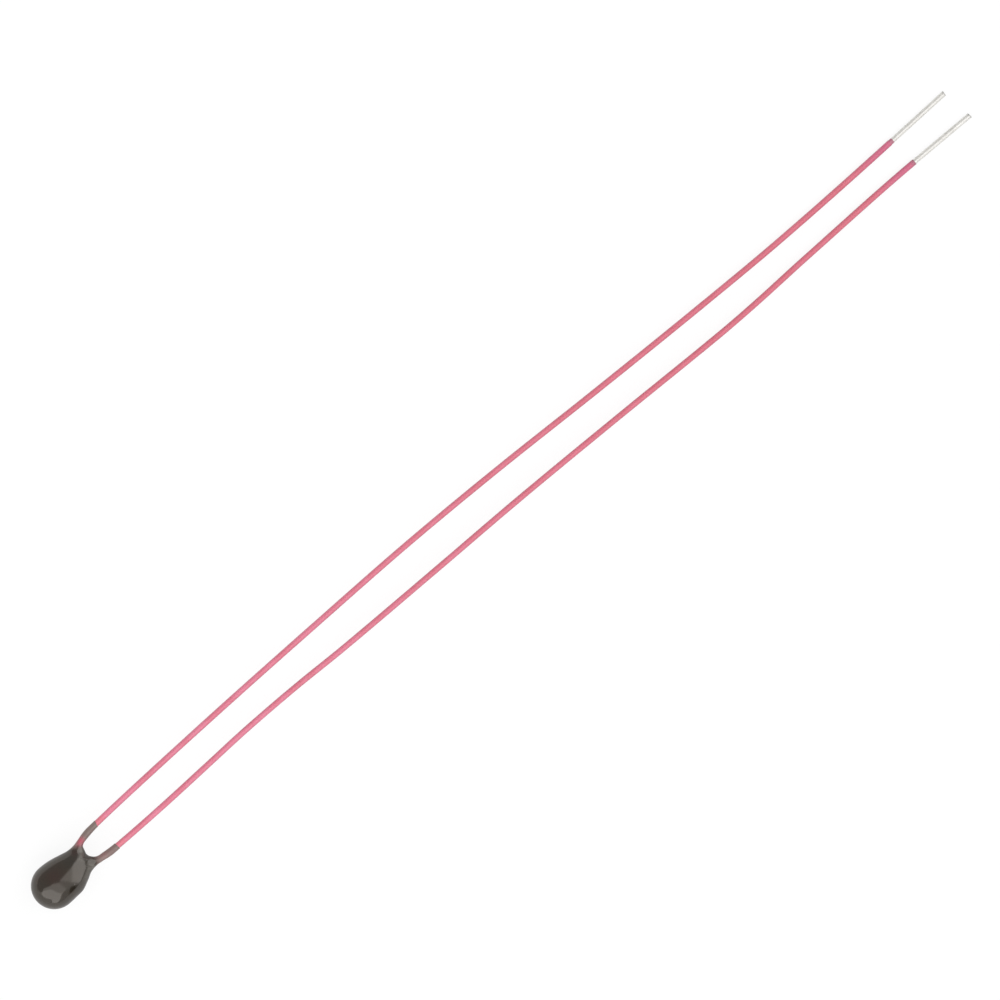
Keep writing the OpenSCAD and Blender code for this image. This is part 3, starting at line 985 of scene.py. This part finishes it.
def silver_finish():
    finish = Finish("fired silver film")
    tree = finish.tree
    body = add_group(tree, DRIFT, Colour=SILVER, Other_Colour=DULL_SILVER,
                     Size_mm=0.12, Amount=0.8)
    finish.feed("Base Color", body.outputs["Colour"])
    marks = add_group(tree, HANDLING, Clean_Roughness=0.42, Rubbed_Roughness=0.55,
                      Speck_mm=0.02, Speck_Share=0.1)
    finish.feed("Roughness", marks.outputs["Roughness"])
    grain = add_group(tree, UNEVENNESS, Size_mm=0.02, Depth_mm=0.001, Roughness=0.7)
    raise_surface(finish, [grain.outputs["Height"]])
    finish.set(Metallic=1.0)
    return finish.material


OXIDE = colour(0.045, 0.043, 0.046)
DARK_OXIDE = colour(0.025, 0.024, 0.027)


def ceramic_finish():
    finish = Finish("sintered oxide ceramic")
    tree = finish.tree
    body = add_group(tree, DRIFT, Colour=OXIDE, Other_Colour=DARK_OXIDE,
                     Size_mm=0.06, Amount=1.0)
    finish.feed("Base Color", body.outputs["Colour"])
    marks = add_group(tree, HANDLING, Clean_Roughness=0.62, Rubbed_Roughness=0.78,
                      Speck_mm=0.015, Speck_Share=0.2)
    finish.feed("Roughness", marks.outputs["Roughness"])
    grain = add_group(tree, UNEVENNESS, Size_mm=0.015, Depth_mm=0.0012, Roughness=0.8)
    raise_surface(finish, [grain.outputs["Height"]])
    return finish.material


# Studio

# The picture's own directions in the part's frame. The leads run up to the right in it.
LEAN = math.radians(40.854)
PICTURE_RIGHT = Vector((math.cos(LEAN), -math.sin(LEAN), 0))
PICTURE_UP = Vector((math.sin(LEAN), math.cos(LEAN), 0))
TO_CAMERA = Vector((0, 0, 1))
# In metres from here on
PICTURE_WIDTH = 0.05
PICTURE_CENTRE = Vector((0.000126, 0.000016, 0.0006))
CAMERA_DISTANCE = 1.2


def set_camera():
    data = bpy.data.cameras.new("long lens")
    data.sensor_width = 36
    data.lens = data.sensor_width * CAMERA_DISTANCE / PICTURE_WIDTH
    data.clip_start = 0.01
    data.clip_end = 20
    camera = put_in_scene("camera", data)
    turn = Matrix((PICTURE_RIGHT, PICTURE_UP, TO_CAMERA)).transposed().to_4x4()
    camera.matrix_world = Matrix.Translation(PICTURE_CENTRE + TO_CAMERA * CAMERA_DISTANCE) @ turn
    bpy.context.scene.camera = camera


# Each soft light is a flat glowing panel. Its corners are where they are seen from the head:
# degrees round from the picture's right, and degrees up from the table. Then comes its radiance.
# The dark card keeps one side of the head from catching light.
SOFT_LIGHTS = {
    "soft light right": (
        [(69, 11), (66, 36), (60, 48), (42, 55), (1, 54), (-21, 42), (-25, 24), (-27, 3),
         (-21, 3), (-13, 7), (0, 13), (23, 16), (43, 9)], 1.75),
    "soft light upper right": (
        [(60, 48), (59, 56), (61, 63), (54, 70), (53, 77), (39, 80), (-12, 65), (-21, 42),
         (1, 54), (42, 55)], 1.2),
    "soft light low right": (
        [(69, 10), (45, 6), (36, 6), (23, 12), (5, 9), (-5, 4), (-11, 1), (20, 1), (52, 1),
         (66, 2)], 1.3),
    "soft light gap": (
        [(39, 80), (-12, 65), (-21, 42), (-25, 24), (-27, 3), (-30, 1), (-32, 3), (-33, 32),
         (-38, 25), (-39, 37), (-30, 65), (-5, 80)], 0.75),
    "soft light low gap": (
        [(-38, 25), (-44, 10), (-43, 1), (-80, 1), (-71, 10), (-57, 26), (-47, 38),
         (-39, 37)], 0.62),
    "soft light overhead": (
        [(-164, 35), (-168, 51), (176, 74), (138, 78), (3, 81), (-30, 65), (-38, 41), (-45, 33),
         (-70, 61), (-132, 69), (-156, 32)], 1.2),
    "soft light below": (
        [(-152, 16), (-156, 32), (-132, 69), (-70, 61), (-47, 38), (-57, 26), (-71, 10), (-80, 1),
         (-96, 1), (-101, 23), (-123, 16), (-137, 13)], 1.8),
    "soft light low left": (
        [(-170, 1), (-154, 15), (-137, 12), (-123, 15), (-102, 22), (-97, 1), (-135, 1)], 0.85),
    "dark card": ([(-33, 32), (-30, 3), (-36, 1), (-42, 1), (-44, 10), (-38, 25)], 0.1),
}
# This one lightens the leads' shaded side, and glossy surfaces don't mirror it
FILL_LIGHT = ([(95, 2), (100, 35), (140, 45), (180, 35), (185, 2), (140, 2)], 1.4)
# From the head to the plane of each light, in metres
LIGHT_DISTANCE = 0.4
WHITE = colour(1, 1, 1)


def seen_at(round_degrees, up_degrees):
    """A direction from the head, as it is seen in the picture."""
    around = math.radians(round_degrees)
    up = math.radians(up_degrees)
    level = PICTURE_RIGHT * math.cos(around) + PICTURE_UP * math.sin(around)
    return level * math.cos(up) + TO_CAMERA * math.sin(up)


def add_soft_light(name, corners, radiance):
    head = Vector(seated(np.zeros(3)))
    ways = [seen_at(*corner) for corner in corners]
    facing = sum(ways, Vector()).normalized()
    points = [head + way * (LIGHT_DISTANCE / way.dot(facing)) for way in ways]
    mesh = bpy.data.meshes.new(name)
    mesh.from_pydata(points, [], [tuple(range(len(points)))])
    panel = put_in_scene(name, mesh)
    panel.visible_camera = False
    material = empty_material(name)
    glow = add_node(material.node_tree, "ShaderNodeEmission", Color=WHITE, Strength=radiance)
    show_surface(material.node_tree, glow.outputs[0])
    mesh.materials.append(material)
    return panel


def seen_directly(tree, camera_share, glossy_share):
    """How much of the plain white background a ray sees."""
    path = tree.nodes.new("ShaderNodeLightPath")
    straight = path.outputs["Is Camera Ray"]
    through = path.outputs["Is Transmission Ray"]
    direct = calculate(tree, "MAXIMUM", straight, through)
    direct = calculate(tree, "MULTIPLY", direct, camera_share)
    glossy = calculate(tree, "MULTIPLY", path.outputs["Is Glossy Ray"], glossy_share)
    return calculate(tree, "MAXIMUM", direct, glossy)


# The floor's size in metres, and the hair by which it lies under the part
FLOOR_SIZE = 3.0
FLOOR_DROP = 0.00002
# How much of the floor's look is plain white and not its shading: seen directly, and in gloss
FLOOR_WHITE = (0.85, 0.1)
FLOOR_PAINT = colour(0.9, 0.9, 0.9)
FLOOR_IN_GLOSS = colour(0.65, 0.65, 0.65)


def add_floor():
    mesh = bpy.data.meshes.new("floor")
    half = FLOOR_SIZE / 2
    corners = [(-half, -half), (half, -half), (half, half), (-half, half)]
    mesh.from_pydata([(x, y, -FLOOR_DROP) for x, y in corners], [], [(0, 1, 2, 3)])
    floor = put_in_scene("floor", mesh)
    material = empty_material("plain pale floor")
    tree = material.node_tree
    path = tree.nodes.new("ShaderNodeLightPath")
    paint = mix_colours(tree, path.outputs["Is Glossy Ray"], FLOOR_PAINT, FLOOR_IN_GLOSS)
    paint = mix_colours(tree, path.outputs["Is Camera Ray"], paint, WHITE)
    shaded = add_node(tree, "ShaderNodeBsdfDiffuse", Color=paint)
    white = add_node(tree, "ShaderNodeEmission", Color=WHITE, Strength=1.0)
    mixed = tree.nodes.new("ShaderNodeMixShader")
    tree.links.new(seen_directly(tree, *FLOOR_WHITE), mixed.inputs[0])
    tree.links.new(shaded.outputs[0], mixed.inputs[1])
    tree.links.new(white.outputs[0], mixed.inputs[2])
    show_surface(tree, mixed.outputs[0])
    mesh.materials.append(material)


ROOM_LIGHT = 0.42


def set_world():
    world = bpy.data.worlds.new("studio")
    bpy.context.scene.world = world
    world.use_nodes = True
    tree = world.node_tree
    tree.nodes.clear()
    room = colour(ROOM_LIGHT, ROOM_LIGHT, ROOM_LIGHT)
    tint = mix_colours(tree, seen_directly(tree, 1.0, 0.0), room, WHITE)
    background = add_node(tree, "ShaderNodeBackground", Color=tint, Strength=1.0)
    add_node(tree, "ShaderNodeOutputWorld", Surface=background.outputs[0])


# Putting it together

set_camera()
for light_name, light_facts in SOFT_LIGHTS.items():
    add_soft_light(light_name, *light_facts)
add_soft_light("fill light", *FILL_LIGHT).visible_glossy = False
add_floor()
set_world()
bpy.context.scene.view_settings.view_transform = "Standard"

resin = resin_finish()
insulation = insulation_finish()
tin = tin_finish()


def fit_piece(piece, finish, node):
    """Gives a piece its finish, and puts it in the place of its CAD node."""
    piece.data.materials.append(finish)
    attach(piece, "root")
    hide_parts(node)


fit_piece(make_resin(), resin, "epoxy_coating")
for side, side_name in SIDE_NAMES.items():
    fit_piece(make_sleeve(side), insulation, f"insulation_{side_name}")
    fit_piece(make_lead_wire(side), tin, f"lead_wire_{side_name}")

INNER_FINISHES = {
    "thermistor_chip": ceramic_finish(),
    "electrode": silver_finish(),
    "solder_joint": solder_finish(),
}
for node_name, node in cad.items():
    for start, finish in INNER_FINISHES.items():
        if node_name.startswith(start):
            node.material_slots[0].material = finish
